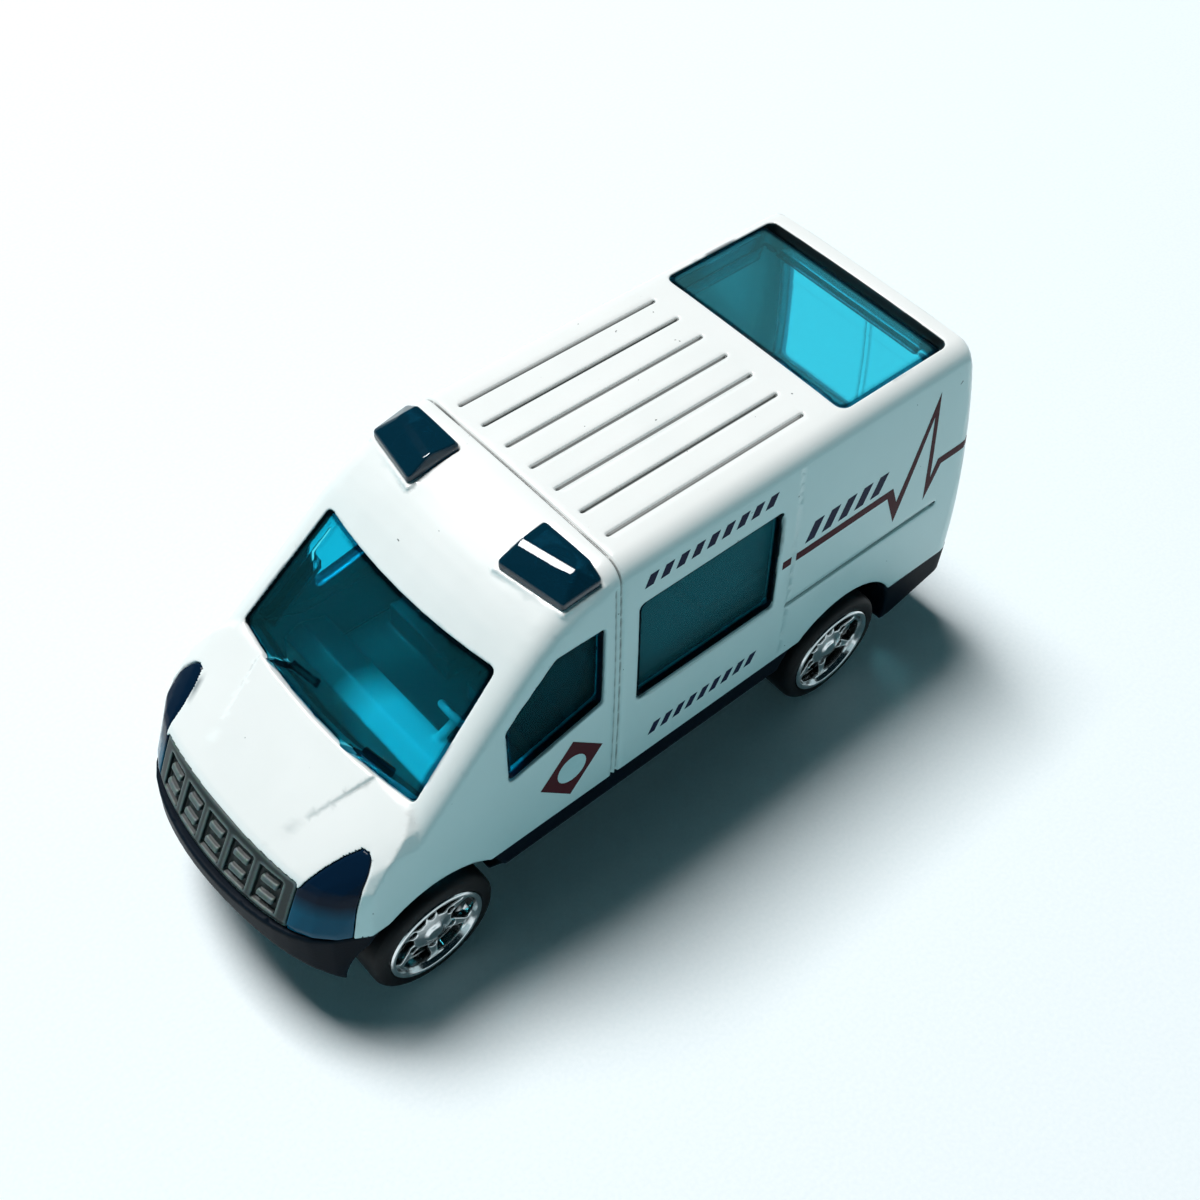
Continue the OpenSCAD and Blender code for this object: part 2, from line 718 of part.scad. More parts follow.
// Light moulding: floor, dashboard with the wheel, two seats and the benches behind
module interior_tray() color("gainsboro") {
  w = body_w / 2 - 2.8;
  top = tray_z + tray_t - 0.1;
  x0 = tail_x + 4.05;
  x1 = bonnet_x - 12.87;
  seat = roof_end_x;
  translate([x0, -w, tray_z]) cube([x1 - x0, 2 * w, tray_t]);
  side_prism([[x1 - 4.4, top], [x1, top], [x1, 17.6], [x1 - 1.6, 18.4], [x1 - 4.1, 17.4]], -w, w);
  for (s = [1.2, -9.2])
    side_prism([[seat - 0.6, top], [seat + 5.8, top], [seat + 5.8, 15.9], [seat + 1.8, 15.6],
      [seat + 0.6, 23.4], [seat - 1.2, 23.4]], s, s + 8);
  side_prism([[x0 + 1, top], [x0 + 12, top], [x0 + 12, 17], [x0 + 1.6, 17]], -w, -4);
  side_prism([[x0 + 1, top], [window_x - 13.2, top], [window_x - 13.2, 15], [x0 + 1, 15]], 1, 7);
  translate([x1 - 5.4, 5.2, 18.6])
    rotate([0, -62, 0]) {
      rotate_extrude() translate([1.7, 0]) circle(r = 0.32, $fn = 24);
      translate([0, 0, -0.25]) cylinder(r = 0.6, h = 0.5);
      for (a = [90, 210, 330])
        rotate([0, 0, a]) translate([0.3, -0.2, -0.2]) cube([1.4, 0.4, 0.4]);
      translate([0, 0, -2.4]) cylinder(r = 0.4, h = 2.3);
    }
}

module base_screws() color("silver") {
  for (x = [front_post_x, rear_post_x])
    translate([x, 0, base_z]) {
      difference() {
        cylinder(r = 1.65, h = 0.65);
        for (a = [0, 90])
          rotate([0, 0, a]) cube([2, 0.4, 0.7], center = true);
      }
      translate([0, 0, 0.6]) cylinder(r = screw_r - 0.02, h = 4.8);
    }
}

module axle(x) {
  l = track_w - 2 * 1.2;
  translate([x, l / 2, axle_z]) rotate([90, 0, 0]) cylinder(d = axle_d, h = l);
}

module front_axle() color("silver") axle(front_axle_x);

module rear_axle() color("silver") axle(rear_axle_x);

// Hub turned about Z with its outer face at the top, pierced between its spokes
module hub() {
  r = hub_d / 2;
  face = track_w / 2;
  difference() {
    rotate_extrude()
      polygon([[0, face - 0.3], [0.7, face - 0.3], [1, face - 0.5], [2.2, face - 0.72],
        [r - 0.62, face - 0.5], [r - 0.45, face - 0.05], [r - 0.35, face], [r - 0.12, face],
        [r, face - 0.12], [r, tyre_in_y + 0.4], [r - 0.5, tyre_in_y + 0.4], [r - 0.5, face - 1.4],
        [1.4, face - 1.4], [1.4, tyre_in_y + 0.1], [0, tyre_in_y + 0.1]]);
    for (k = [0 : spokes - 1])
      rotate([0, 0, k * 360 / spokes]) {
        linear_extrude(far)
          polygon([[1.8, 0.35], [2.1, 0.6], [3.1, 1.45], [3.4, 1.5], [3.75, 0.9], [3.86, 0.3],
            [3.86, -0.3], [3.75, -0.9], [3.4, -1.5], [3.1, -1.45], [2.1, -0.6], [1.8, -0.35]]);
        rotate([0, 0, 180 / spokes]) translate([2.15, 0, face - 2]) cylinder(r = 0.4, h = 4);
      }
    cylinder(d = axle_d + 0.02, h = face - 1.2);
  }
}

// Tyre with a rounded tread, seated round the hub
module tyre() {
  r = tyre_d / 2;
  s = hub_d / 2 + 0.01;
  c = 0.7;
  out = track_w / 2 - 0.15;
  rotate_extrude()
    difference() {
      translate([s, tyre_in_y]) square([r - s, out - tyre_in_y]);
      for (v = [[out, -1], [tyre_in_y, 1]])
        difference() {
          translate([r - c, v[1] < 0 ? v[0] - c : v[0] - 1]) square([c + 1, c + 1]);
          translate([r - c, v[0] + v[1] * c]) circle(r = c);
        }
    }
}

// Puts a wheel piece on its axle at one side of the van
module at_wheel(x, side) {
  translate([x, 0, axle_z]) rotate([side > 0 ? -90 : 90, 0, 0]) children();
}

module front_left_hub() color("silver") at_wheel(front_axle_x, 1) hub();

module front_right_hub() color("silver") at_wheel(front_axle_x, -1) hub();

module rear_left_hub() color("silver") at_wheel(rear_axle_x, 1) hub();

module rear_right_hub() color("silver") at_wheel(rear_axle_x, -1) hub();

module front_left_tyre() color("black") at_wheel(front_axle_x, 1) tyre();

module front_right_tyre() color("black") at_wheel(front_axle_x, -1) tyre();

module rear_left_tyre() color("black") at_wheel(rear_axle_x, 1) tyre();

module rear_right_tyre() color("black") at_wheel(rear_axle_x, -1) tyre();

body_shell();
base_plate();
grille();
cab_glazing();
rear_glazing();
beacon_left();
beacon_right();
headlamp_left();
headlamp_right();
interior_tray();
base_screws();
front_axle();
rear_axle();
front_left_hub();
front_right_hub();
rear_left_hub();
rear_right_hub();
front_left_tyre();
front_right_tyre();
rear_left_tyre();
rear_right_tyre();
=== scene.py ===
import math

import bmesh
import bpy
import numpy as np
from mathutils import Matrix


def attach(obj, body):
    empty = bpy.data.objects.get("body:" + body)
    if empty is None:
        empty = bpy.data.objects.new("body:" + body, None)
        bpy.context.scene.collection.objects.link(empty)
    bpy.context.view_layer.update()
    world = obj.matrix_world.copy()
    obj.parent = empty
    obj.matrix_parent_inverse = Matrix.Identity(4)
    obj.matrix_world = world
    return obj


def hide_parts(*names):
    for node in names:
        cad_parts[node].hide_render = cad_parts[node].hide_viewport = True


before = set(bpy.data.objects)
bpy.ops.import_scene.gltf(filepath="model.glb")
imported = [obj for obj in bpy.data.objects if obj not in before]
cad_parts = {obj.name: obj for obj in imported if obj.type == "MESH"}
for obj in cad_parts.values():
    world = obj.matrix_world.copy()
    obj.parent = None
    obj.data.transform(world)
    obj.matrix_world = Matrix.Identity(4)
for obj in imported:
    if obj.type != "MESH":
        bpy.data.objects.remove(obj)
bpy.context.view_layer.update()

import openvdb
from mathutils import Matrix, Vector
from mathutils.bvhtree import BVHTree


# Body casting: one thin shell of die-cast zinc, trimmed, then sprayed white.
# The die, the tumbling after it and two coats of paint leave no sharp edge, so
# the shell is taken from the solid with its edges rounded over about a fifth of a millimetre.
MM = 0.001
# Voxels on each side of a surface that hold their distance to it, and voxels left free round it.
BAND, MARGIN = 4, 3
# Weights of the middle voxel and of those beside it: a soft average, and a flat one nine voxels wide.
SOFTEN = (0.5, 0.25)
NINE_WIDE = (1 / 9,) * 5
SHORTEST_SLOPE = 1e-9


def linear(code):
    """Linear colour with alpha of an sRGB hex value."""
    parts = [int(code[i:i + 2], 16) / 255 for i in (1, 3, 5)]
    return tuple(c / 12.92 if c <= 0.04045 else ((c + 0.055) / 1.055) ** 2.4 for c in parts) + (1.0,)


def node(tree, kind, inputs, **settings):
    """Adds one node with its settings; each input is a value or the socket it is linked from."""
    made = tree.nodes.new(kind)
    for key, value in settings.items():
        setattr(made, key, value)
    for socket, value in inputs.items():
        if isinstance(value, bpy.types.NodeSocket):
            tree.links.new(value, made.inputs[socket])
        else:
            made.inputs[socket].default_value = value
    return made


def new_finish(name):
    """A named material with its node tree and its shader."""
    made = bpy.data.materials.new(name)
    made.use_nodes = True
    return made, made.node_tree, made.node_tree.nodes["Principled BSDF"]


def blurred(field, taps):
    """The field averaged along each axis with these weights, the middle one first."""
    for axis in range(3):
        total = field * taps[0]
        for k, weight in enumerate(taps[1:], 1):
            pad = [(k, k) if a == axis else (0, 0) for a in range(3)]
            wide = np.pad(field, pad, mode="edge")
            n = wide.shape[axis]
            below = np.take(wide, range(0, n - 2 * k), axis)
            above = np.take(wide, range(2 * k, n), axis)
            total += weight * (below + above)
        field = total
    return field


def sampled(field, at):
    """The field between its samples, at places counted in voxels."""
    i = np.clip(at.astype(int), 0, np.array(field.shape) - 2)
    f = at - i
    total = 0
    for corner in np.ndindex(2, 2, 2):
        total = total + np.prod(np.where(corner, f, 1 - f), axis=1) * field[tuple((i + corner).T)]
    return total


def rounded(name, solid, voxel, rounds, adapt, bevels=()):
    """Piece with the solid's form and its edges rounded, from a distance field sampled at voxel.

    The field is softened in rounds. The larger adapt is, the larger the faces on flat stretches.
    Each bevel is a point and a normal of a plane that takes off what stands in front of it.
    """
    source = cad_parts[solid].data
    source.calc_loop_triangles()
    points = np.empty(len(source.vertices) * 3, np.float32)
    source.vertices.foreach_get("co", points)
    corners = np.empty(len(source.loop_triangles) * 3, np.int32)
    source.loop_triangles.foreach_get("vertices", corners)
    grid = openvdb.FloatGrid.createLevelSetFromPolygons(
        points.reshape(-1, 3), triangles=corners.reshape(-1, 3),
        transform=openvdb.createLinearTransform(voxel), halfWidth=BAND)
    low, high = grid.evalActiveVoxelBoundingBox()
    low = tuple(v - MARGIN for v in low)
    field = np.empty([h - a + 1 + MARGIN for a, h in zip(low, high)], np.float32)
    grid.copyToArray(field, ijk=low)
    for point, facing in bevels:
        spots = np.ogrid[tuple(slice(a, a + n) for a, n in zip(low, field.shape))]
        ahead = sum(c * (spot * voxel - q) for c, spot, q in zip(facing, spots, point))
        field = np.maximum(field, ahead.astype(np.float32))
    for _ in range(rounds):
        field = blurred(field, SOFTEN)
    soft = openvdb.FloatGrid(BAND * voxel)
    soft.transform = openvdb.createLinearTransform(voxel)
    soft.gridClass = openvdb.GridClass.LEVEL_SET
    soft.copyFromArray(field, ijk=low)
    verts, tris, quads = soft.convertToPolygons(isovalue=0.0, adaptivity=adapt)
    mesh = bpy.data.meshes.new(name)
    mesh.from_pydata(verts.tolist(), [], [face[::-1] for face in tris.tolist() + quads.tolist()])
    mesh.polygons.foreach_set("use_smooth", [True] * len(mesh.polygons))
    # The normal at each vertex is the slope of the field there.
    at = verts / voxel - np.array(low)
    slope = np.stack([sampled(field, at + e) - sampled(field, at - e) for e in np.eye(3)], 1)
    slope /= np.maximum(np.linalg.norm(slope, axis=1, keepdims=True), SHORTEST_SLOPE)
    mesh.normals_split_custom_set_from_vertices(slope.tolist())
    # Relief is the mean of the field round a vertex, in mm: over 0 on ridges, under 0 in grooves.
    relief = sampled(blurred(field, NINE_WIDE), at) / MM
    mesh.attributes.new("relief", "FLOAT", "POINT").data.foreach_set("value", relief)
    piece = bpy.data.objects.new(name, mesh)
    bpy.context.scene.collection.objects.link(piece)
    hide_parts(solid)
    return piece


casting = rounded("body_casting", "body_shell", voxel=0.1 * MM, rounds=1, adapt=0.13)

# White enamel over zinc: glossy, faintly uneven from the spray gun, with fine dust
# caught in the paint, grime and painted shade darkening its grooves and creases, and grey
# metal showing on rubbed edges. Sprayed from outside only: faces that look in to the middle
# of the shell stay bare zinc, painted dark as shade inside the shell.
# Height of the shell's middle, and the share at which distances along its length count.
MIDDLE_Z, LENGTH_SHARE = 10 * MM, 0.5
# The two colours that a Mix node takes, and the one that it gives, by the numbers of their sockets.
FIRST, SECOND, MIXED = 6, 7, 2
enamel, tree, shader = new_finish("white_spray_enamel")
spot = node(tree, "ShaderNodeTexCoord", {})
place = spot.outputs["Object"]
reach = node(tree, "ShaderNodeMapping",
             {"Vector": place, "Location": (0, 0, -MIDDLE_Z), "Scale": (LENGTH_SHARE, 1, 1)})
outward = node(tree, "ShaderNodeVectorMath", {0: reach.outputs[0], 1: spot.outputs["Normal"]},
               operation="DOT_PRODUCT")
# Painted shade: faces that look in to the middle of the shell are darkened, as bare zinc in shade.
bare_zinc_in_shade = node(tree, "ShaderNodeMapRange",
            {"Value": outward.outputs["Value"], "From Min": -2 * MM, "From Max": -5 * MM})
peel = node(tree, "ShaderNodeTexNoise", {"Vector": place, "Scale": 1 / (0.7 * MM), "Detail": 2.0})
clouds = node(tree, "ShaderNodeTexNoise", {"Vector": place, "Scale": 1 / (6 * MM), "Detail": 3.0})
dust = node(tree, "ShaderNodeTexNoise", {"Vector": place, "Scale": 1 / (0.55 * MM), "Detail": 1.0})
specks = node(tree, "ShaderNodeMapRange", {"Value": dust.outputs["Fac"], "From Min": 0.8, "From Max": 0.82})
relief = node(tree, "ShaderNodeAttribute", {}, attribute_name="relief").outputs["Fac"]
ridge = node(tree, "ShaderNodeMapRange", {"Value": relief, "From Min": 0.06, "From Max": 0.11})
rub = node(tree, "ShaderNodeMapRange", {"Value": clouds.outputs["Fac"], "From Min": 0.58, "From Max": 0.66})
worn = node(tree, "ShaderNodeMath", {0: ridge.outputs[0], 1: rub.outputs[0]}, operation="MULTIPLY")
# Grime and painted shade: hollows such as grooves and creases are darkened.
hollow_grime_and_shade = node(tree, "ShaderNodeMapRange",
              {"Value": relief, "From Min": -0.03, "From Max": -0.105, "To Max": 0.97})
paint = node(tree, "ShaderNodeMix",
             {"Factor": clouds.outputs["Fac"], FIRST: linear("#eef1ef"), SECOND: linear("#f8f9f7")},
             data_type="RGBA")
# Each layer lies over the one before it: dust, rubbed edges, grime and painted shade in
# hollows, and bare metal painted dark as shade inside.
coats = paint.outputs[MIXED]
for share, colour in ((specks, "#6e7472"), (worn, "#9aa0a2"), (hollow_grime_and_shade, "#16211f"), (bare_zinc_in_shade, "#33393b")):
    layer = node(tree, "ShaderNodeMix", {"Factor": share.outputs[0], FIRST: coats, SECOND: linear(colour)},
                 data_type="RGBA")
    coats = layer.outputs[MIXED]
tree.links.new(coats, shader.inputs["Base Color"])
gloss = node(tree, "ShaderNodeMapRange", {"Value": clouds.outputs["Fac"], "To Min": 0.24, "To Max": 0.36})
tree.links.new(gloss.outputs[0], shader.inputs["Roughness"])
skin = node(tree, "ShaderNodeBump",
            {"Height": peel.outputs["Fac"], "Strength": 0.12, "Distance": 0.03 * MM})
tree.links.new(skin.outputs["Normal"], shader.inputs["Normal"])
shader.inputs["Coat Weight"].default_value = 0.35
shader.inputs["Coat Roughness"].default_value = 0.06
casting.data.materials.append(enamel)
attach(casting, "van_body")


# Base: one moulding of black ABS with both bumpers, the skirts and the floor,
# screwed up under the casting. The tool was spark-eroded, which leaves a fine grain.
base = rounded("base_moulding", "base_plate", voxel=0.13 * MM, rounds=1, adapt=0.03)

# Black ABS: blue-black and almost without shine, with grain of about a tenth of a millimetre
# drawn twice as coarse so that it shows, and a paler rub along the edges.
abs_black, tree, shader = new_finish("moulded_black_abs")
place = node(tree, "ShaderNodeTexCoord", {}).outputs["Object"]
grain = node(tree, "ShaderNodeTexNoise", {"Vector": place, "Scale": 1 / (0.22 * MM), "Detail": 2.0})
patches = node(tree, "ShaderNodeTexNoise", {"Vector": place, "Scale": 1 / (4 * MM), "Detail": 3.0})
tone = node(tree, "ShaderNodeMix",
            {"Factor": patches.outputs["Fac"], FIRST: linear("#050c14"), SECOND: linear("#0a1622")},
            data_type="RGBA")
relief = node(tree, "ShaderNodeAttribute", {}, attribute_name="relief").outputs["Fac"]
rub = node(tree, "ShaderNodeMapRange",
           {"Value": relief, "From Min": 0.07, "From Max": 0.16, "To Max": 0.15})
rubbed = node(tree, "ShaderNodeMix",
              {"Factor": rub.outputs[0], FIRST: tone.outputs[MIXED], SECOND: linear("#3a4650")},
              data_type="RGBA")
tree.links.new(rubbed.outputs[MIXED], shader.inputs["Base Color"])
gloss = node(tree, "ShaderNodeMapRange", {"Value": patches.outputs["Fac"], "To Min": 0.3, "To Max": 0.46})
tree.links.new(gloss.outputs[0], shader.inputs["Roughness"])
skin = node(tree, "ShaderNodeBump",
            {"Height": grain.outputs["Fac"], "Strength": 0.25, "Distance": 0.03 * MM})
tree.links.new(skin.outputs["Normal"], shader.inputs["Normal"])
shader.inputs["Specular IOR Level"].default_value = 0.02
base.data.materials.append(abs_black)
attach(base, "van_body")


# Grille: a grey plate with pairs of short slats, pushed in between the lamps from behind.
# Moulded in the same plastic as the base, with its raised faces painted paler as painted highlights.
grille = rounded("grille_plate", "grille", voxel=0.07 * MM, rounds=1, adapt=0.03)

# Dark grey ABS: the slats and rims are painted a paler grey as painted highlights, the pockets stay dark.
grille_painted_highlights, tree, shader = new_finish("grey_abs_painted_highlights")
place = node(tree, "ShaderNodeTexCoord", {}).outputs["Object"]
grain = node(tree, "ShaderNodeTexNoise", {"Vector": place, "Scale": 1 / (0.3 * MM), "Detail": 2.0})
relief = node(tree, "ShaderNodeAttribute", {}, attribute_name="relief").outputs["Fac"]
# Painted highlight: raised faces are drawn lighter.
painted_highlight_share = node(tree, "ShaderNodeMapRange", {"Value": relief, "From Min": 0.02, "From Max": 0.06})
tone = node(tree, "ShaderNodeMix",
            {"Factor": painted_highlight_share.outputs[0], FIRST: linear("#1c2626"), SECOND: linear("#5c6a68")},
            data_type="RGBA")
uneven = node(tree, "ShaderNodeMix",
              {"Factor": 0.35, FIRST: tone.outputs[MIXED], SECOND: grain.outputs["Color"]},
              data_type="RGBA", blend_type="SOFT_LIGHT")
tree.links.new(uneven.outputs[MIXED], shader.inputs["Base Color"])
shader.inputs["Roughness"].default_value = 0.42
shader.inputs["Specular IOR Level"].default_value = 0.25
skin = node(tree, "ShaderNodeBump",
            {"Height": grain.outputs["Fac"], "Strength": 0.2, "Distance": 0.02 * MM})
tree.links.new(skin.outputs["Normal"], shader.inputs["Normal"])
grille.data.materials.append(grille_painted_highlights)
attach(grille, "van_body")


# Interior tray: floor, dashboard with the wheel, seats and benches in one moulding,
# clamped between base and casting. It is drawn dark grey as painted shade, with a pale patch
# on the dashboard painted as a pool of light.
LIT_PATCH_X = (15.3 * MM, 16.3 * MM)
LIT_PATCH_Y = (-4 * MM, 0.5 * MM)
tray = rounded("interior_moulding", "interior_tray", voxel=0.12 * MM, rounds=1, adapt=0.03)

# Polystyrene drawn dark grey as painted shade: satin, with flow marks a few millimetres long.
# A patch of the dashboard before the driver is painted pale as a pool of light, and fades in
# over the two stretches given above.
grey, tree, shader = new_finish("moulded_grey_polystyrene")
place = node(tree, "ShaderNodeTexCoord", {}).outputs["Object"]
flow = node(tree, "ShaderNodeTexNoise",
            {"Vector": place, "Scale": 1 / (3 * MM), "Detail": 3.0, "Distortion": 1.0})
axes = node(tree, "ShaderNodeSeparateXYZ", {"Vector": place})
ahead = node(tree, "ShaderNodeMapRange",
             {"Value": axes.outputs["X"], "From Min": LIT_PATCH_X[0], "From Max": LIT_PATCH_X[1]})
beside = node(tree, "ShaderNodeMapRange",
              {"Value": axes.outputs["Y"], "From Min": LIT_PATCH_Y[0], "From Max": LIT_PATCH_Y[1]})
# Painted pool of light: this patch of the dashboard is pale.
pad = node(tree, "ShaderNodeMath", {0: ahead.outputs[0], 1: beside.outputs[0]}, operation="MULTIPLY")
# Painted shade: the rest of the tray is drawn dark.
dark = node(tree, "ShaderNodeMix",
            {"Factor": flow.outputs["Fac"], FIRST: linear("#1f2729"), SECOND: linear("#2e383a")},
            data_type="RGBA")
tone = node(tree, "ShaderNodeMix",
            {"Factor": pad.outputs[0], FIRST: dark.outputs[MIXED], SECOND: linear("#d6dede")},
            data_type="RGBA")
tree.links.new(tone.outputs[MIXED], shader.inputs["Base Color"])
gloss = node(tree, "ShaderNodeMapRange", {"Value": flow.outputs["Fac"], "To Min": 0.38, "To Max": 0.55})
tree.links.new(gloss.outputs[0], shader.inputs["Roughness"])
tray.data.materials.append(grey)
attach(tray, "van_body")


# Tinted glazing: two clear mouldings, one in the cab and one behind it, that carry all the panes.
# They are pressed in from inside, so each pane stands in its opening with a rim round it.
PANE_IOR = 1.05


# Clear polystyrene dyed blue-green: what is lit behind the panes shows strongly coloured, and
# unlit corners go nearly black. Raised rims are painted dark as painted shade. The IOR is matched
# to panes that show almost no reflection, and is far under polystyrene's 1.59.
def dyed_panes(name, dye, shade, clear):
    """Dyed plastic: clear is the share that isn't haze, and shade colours the light let in."""
    made, tree, shader = new_finish(name)
    relief = node(tree, "ShaderNodeAttribute", {}, attribute_name="relief").outputs["Fac"]
    # Painted shade: raised rims are darkened.
    rim_painted_shade = node(tree, "ShaderNodeMapRange", {"Value": relief, "From Min": 0.015, "From Max": 0.06})
    tone = node(tree, "ShaderNodeMix",
                {"Factor": rim_painted_shade.outputs[0], FIRST: linear(dye), SECOND: linear("#0b3c50")},
                data_type="RGBA")
    tree.links.new(tone.outputs[MIXED], shader.inputs["Base Color"])
    shader.inputs["Transmission Weight"].default_value = clear
    shader.inputs["IOR"].default_value = PANE_IOR
    place = node(tree, "ShaderNodeTexCoord", {}).outputs["Object"]
    smear = node(tree, "ShaderNodeTexNoise",
                 {"Vector": place, "Scale": 1 / (5 * MM), "Detail": 4.0, "Distortion": 1.5})
    gloss = node(tree, "ShaderNodeMapRange",
                 {"Value": smear.outputs["Fac"], "From Min": 0.4, "From Max": 0.7,
                  "To Min": 0.02, "To Max": 0.09})
    tree.links.new(gloss.outputs[0], shader.inputs["Roughness"])
    let_in = node(tree, "ShaderNodeBsdfTransparent", {"Color": linear(shade)})
    ray = node(tree, "ShaderNodeLightPath", {})
    lit = node(tree, "ShaderNodeMixShader",
               {0: ray.outputs["Is Shadow Ray"], 1: shader.outputs[0], 2: let_in.outputs[0]})
    tree.links.new(lit.outputs[0], tree.nodes["Material Output"].inputs["Surface"])
    return made


# The rear moulding is hazier and shades more of the light, so its floor lies darker.
for end, dye, shade, clear in (("cab", "#4ad4e6", "#6bafbc", 0.965), ("rear", "#78e8f6", "#1f4f5a", 0.905)):
    panes = rounded(end + "_glazing_moulding", end + "_glazing", voxel=0.1 * MM, rounds=1, adapt=0.03)
    panes.data.materials.append(dyed_panes("clear_polystyrene_teal_" + end, dye, shade, clear))
    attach(panes, "van_body")


# Roof beacons: two small lenses with flat tops, each on a cast pad with its peg through the roof.
# A narrow bevel runs along the crest of each. The crest's place, in mm, and the way that
# the bevel faces are those of the left one.
CREST_X, CREST_Y, CREST_Z = 10.27, 5.3, 35.43
BEVEL_X, BEVEL_Y, BEVEL_Z = 0.29, 0.065, 0.955
BEVEL_DEPTH = 0.085

# Acrylic dyed dark blue: almost black at the sides, blue-green where light comes through,
# with faint smears in its gloss.
beacon_blue, tree, shader = new_finish("clear_acrylic_navy")
shader.inputs["Base Color"].default_value = linear("#0a3d52")
shader.inputs["Transmission Weight"].default_value = 0.5
shader.inputs["IOR"].default_value = 1.49
place = node(tree, "ShaderNodeTexCoord", {}).outputs["Object"]
smear = node(tree, "ShaderNodeTexNoise",
             {"Vector": place, "Scale": 1 / (2 * MM), "Detail": 3.0, "Distortion": 1.0})
gloss = node(tree, "ShaderNodeMapRange", {"Value": smear.outputs["Fac"], "To Min": 0.03, "To Max": 0.14})
tree.links.new(gloss.outputs[0], shader.inputs["Roughness"])
for side, solid in ((1, "beacon_left"), (-1, "beacon_right")):
    facing = Vector((BEVEL_X, BEVEL_Y * side, BEVEL_Z))
    crest = Vector((CREST_X, CREST_Y * side, CREST_Z))
    bevel = ((crest - BEVEL_DEPTH * facing) * MM, facing)
    lens = rounded(solid + "_lens", solid, voxel=0.06 * MM, rounds=2, adapt=0.0, bevels=[bevel])
    lens.data.materials.append(beacon_blue)
    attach(lens, "van_body")


# Headlamps: lenses that wrap the corners of the nose between grille and wing.
# They are pushed in from behind, and they turn from teal at the foot to navy at the top.
FOOT_Z, TOP_Z = 14.6 * MM, 16.2 * MM

# Polystyrene dyed so deep a blue-green that no light comes through: it is drawn opaque,
# with the faint shine that the photograph shows.
lamp_teal, tree, shader = new_finish("dyed_polystyrene_deep_teal")
shader.inputs["Specular IOR Level"].default_value = 0.06
place = node(tree, "ShaderNodeTexCoord", {}).outputs["Object"]
height = node(tree, "ShaderNodeSeparateXYZ", {"Vector": place}).outputs["Z"]
depth = node(tree, "ShaderNodeMapRange", {"Value": height, "From Min": FOOT_Z, "From Max": TOP_Z})
tone = node(tree, "ShaderNodeMix",
            {"Factor": depth.outputs[0], FIRST: linear("#0c5a76"), SECOND: linear("#081e33")},
            data_type="RGBA")
tree.links.new(tone.outputs[MIXED], shader.inputs["Base Color"])
smear = node(tree, "ShaderNodeTexNoise",
             {"Vector": place, "Scale": 1 / (2 * MM), "Detail": 3.0, "Distortion": 1.0})
gloss = node(tree, "ShaderNodeMapRange", {"Value": smear.outputs["Fac"], "To Min": 0.05, "To Max": 0.16})
tree.links.new(gloss.outputs[0], shader.inputs["Roughness"])
for solid in ("headlamp_left", "headlamp_right"):
    lens = rounded(solid + "_lens", solid, voxel=0.07 * MM, rounds=1, adapt=0.02)
    lens.data.materials.append(lamp_teal)
    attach(lens, "van_body")


# Prints: stripes and blocks pad-printed on both sides, each a film of ink on the enamel.
# Outlines lie in X and Z, in mm, and are laid on the casting's side. Ink stops at the door line.
# Films are cut across at these heights and steps, so that they follow the casting's curves.
LINE_X, LINE_HALF = -12.75, 0.3
CUTS_Z = (13, 17, 21, 25, 28.5, 31)
SIDE_STEP, CORNER_X, CORNER_STEP, STEPS = 1.5, -32.7, 0.15, 14
CUTS_X = [LINE_X - LINE_HALF - SIDE_STEP * k for k in range(STEPS)]
CUTS_X += [LINE_X + LINE_HALF]
CUTS_X += [CORNER_X - CORNER_STEP * k for k in range(STEPS)]
# Film over the paint, the part of it that lies in the paint, and film of ink printed on ink.
FILM_T, FILM_SINK, OVERPRINT_T = 0.018, 0.03, 0.03
# Distance from the middle at which the lines that find the casting's side start.
OUTSIDE_Y = 40
side_tree = BVHTree.FromObject(casting, bpy.context.evaluated_depsgraph_get())


def ink(name, outlines, finish, film_t=FILM_T):
    """Prints the outlines on both sides as thin closed films that follow the casting."""
    made = bmesh.new()
    for outline in outlines:
        made.faces.new([made.verts.new((x, 0, z)) for x, z in outline])
    cuts = [((0, 0, z), (0, 0, 1)) for z in CUTS_Z] + [((x, 0, 0), (1, 0, 0)) for x in CUTS_X]
    for point, facing in cuts:
        bmesh.ops.bisect_plane(made, geom=made.verts[:] + made.edges[:] + made.faces[:],
                               plane_co=point, plane_no=facing)
    gap = [f for f in made.faces if abs(f.calc_center_median().x - LINE_X) < LINE_HALF]
    bmesh.ops.delete(made, geom=gap, context="FACES")
    bmesh.ops.triangulate(made, faces=made.faces[:])
    made.verts.index_update()
    spots = [(v.co.x, v.co.z) for v in made.verts]
    tris = [tuple(v.index for v in f.verts) for f in made.faces]
    made.free()
    edges = dict.fromkeys(e for a, b, c in tris for e in ((a, b), (b, c), (c, a)))
    verts, faces = [], []
    for side in (1, -1):
        front = len(verts)
        back = front + len(spots)
        for lift in (film_t, -FILM_SINK):
            for x, z in spots:
                start = Vector((x * MM, side * OUTSIDE_Y * MM, z * MM))
                hit = side_tree.ray_cast(start, Vector((0, -side, 0)))
                verts.append((x * MM, hit[0].y + side * lift * MM, z * MM))
        for a, b, c in tris:
            faces.append((front + a, front + b, front + c))
            faces.append((back + c, back + b, back + a))
        for a, b in edges:
            if (b, a) not in edges:
                faces.append((front + b, front + a, back + a, back + b))
    film = bpy.data.meshes.new(name)
    film.from_pydata(verts, [], faces)
    film.update()
    turned = bmesh.new()
    turned.from_mesh(film)
    bmesh.ops.recalc_face_normals(turned, faces=turned.faces[:])
    turned.to_mesh(film)
    turned.free()
    piece = bpy.data.objects.new(name, film)
    bpy.context.scene.collection.objects.link(piece)
    film.materials.append(finish)
    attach(piece, "van_body")


